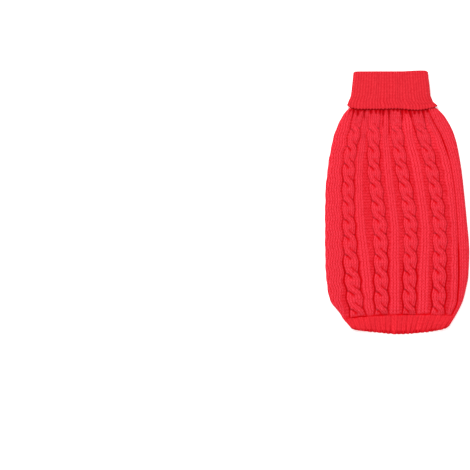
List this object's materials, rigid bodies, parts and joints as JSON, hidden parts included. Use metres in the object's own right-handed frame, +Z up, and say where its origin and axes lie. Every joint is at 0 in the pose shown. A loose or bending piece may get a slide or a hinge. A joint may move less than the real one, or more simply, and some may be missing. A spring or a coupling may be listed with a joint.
{
  "type": "cable-knit dog sweater laid flat",
  "caption": "Knitted turtleneck sweater for a small dog, lying flat with its back up: cabled back, plain belly with leg holes, folded ribbed collar and ribbed hem.",
  "frame": {"origin": "on the surface that the sweater lies on, under the middle of its outline", "axes": "+Z up out of the back, +Y from the hem towards the collar, +X to the right of someone who looks down on the back with the collar away from them"},
  "size_m": [0.1763, 0.322, 0.0116],
  "materials": {
    "cable_knit": "matte acrylic yarn, cables on purl",
    "plain_knit": "matte acrylic yarn, stockinette",
    "rib_knit": "matte acrylic yarn, ribbed"
  },
  "bodies": {
    "root": {"back_panel": "cable_knit", "belly_panel": "plain_knit", "collar": "rib_knit", "hem_band": "rib_knit", "cuff_left": "rib_knit", "cuff_right": "rib_knit"}
  },
  "joints": []
}
